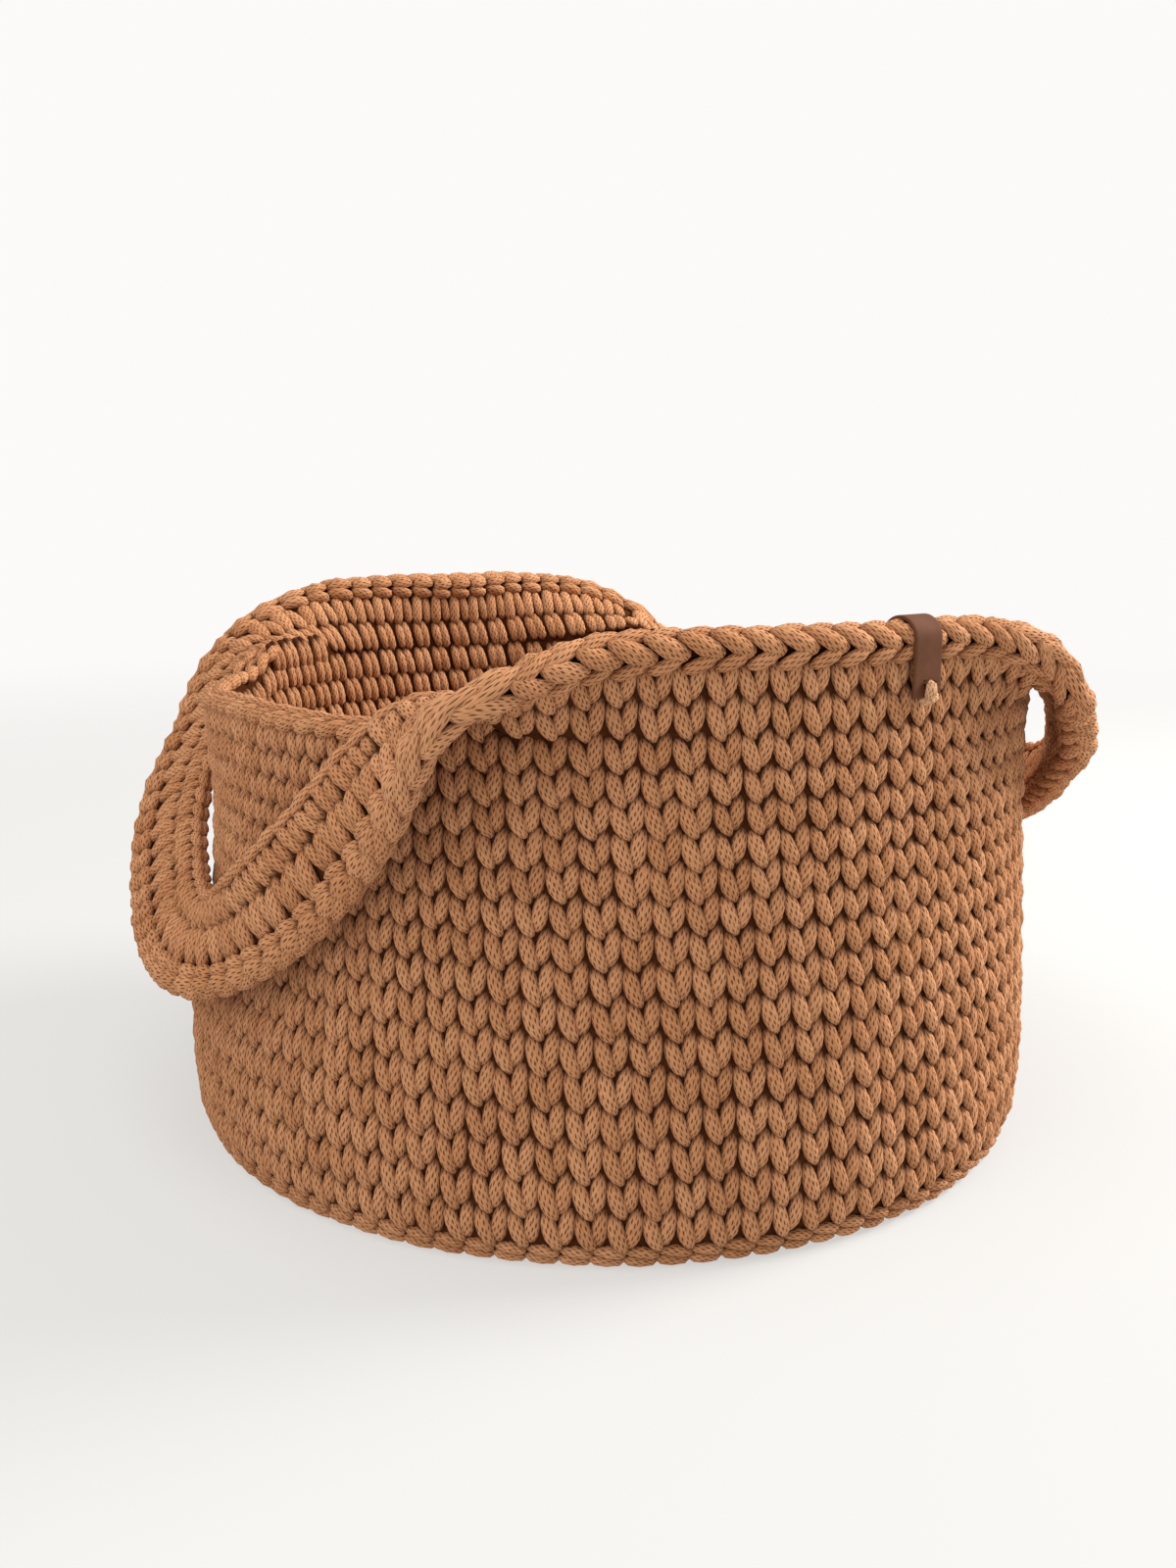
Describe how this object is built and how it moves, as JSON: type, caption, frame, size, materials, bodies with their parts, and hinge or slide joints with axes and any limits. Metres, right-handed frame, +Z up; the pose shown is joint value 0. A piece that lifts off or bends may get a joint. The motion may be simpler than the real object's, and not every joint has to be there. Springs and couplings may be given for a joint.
{
  "type": "storage basket",
  "caption": "Round open storage basket crocheted from thick caramel cotton cord, with a strap handle hanging outside each side and a bare leather label folded over the front rim.",
  "frame": {"origin": "middle of the flat underside, on the surface the basket stands on", "axes": "+Z up. The front, with the label, faces -Y. The straps hang outside the wall at -X and +X."},
  "size_m": [0.4763, 0.4233, 0.2527],
  "materials": {
    "cotton_cord": "matt knitted cotton cord with a little fuzz",
    "label_leather": "smooth, softly shining"
  },
  "bodies": {
    "basket": {"base_disc": "cotton_cord", "base_edge_round": "cotton_cord", "wall": "cotton_cord", "left_slot_edge": "cotton_cord", "right_slot_edge": "cotton_cord", "front_band": "cotton_cord", "back_band": "cotton_cord", "front_rim_chain": "cotton_cord", "back_rim_chain": "cotton_cord", "label": "label_leather", "label_tie": "cotton_cord"},
    "left_handle": {"left_strap": "cotton_cord", "left_strap_rim_chain": "cotton_cord", "left_strap_foundation": "cotton_cord"},
    "right_handle": {"right_strap": "cotton_cord", "right_strap_rim_chain": "cotton_cord", "right_strap_foundation": "cotton_cord"}
  },
  "joints": [
    {"name": "left_handle_hinge", "type": "hinge", "parent": "basket", "child": "left_handle", "pos_m": [-0.13, 0, 0.228], "axis": [0, 1, 0], "range_deg": [0, 165]},
    {"name": "right_handle_hinge", "type": "hinge", "parent": "basket", "child": "right_handle", "pos_m": [0.13, 0, 0.228], "axis": [0, -1, 0], "range_deg": [0, 150]}
  ]
}
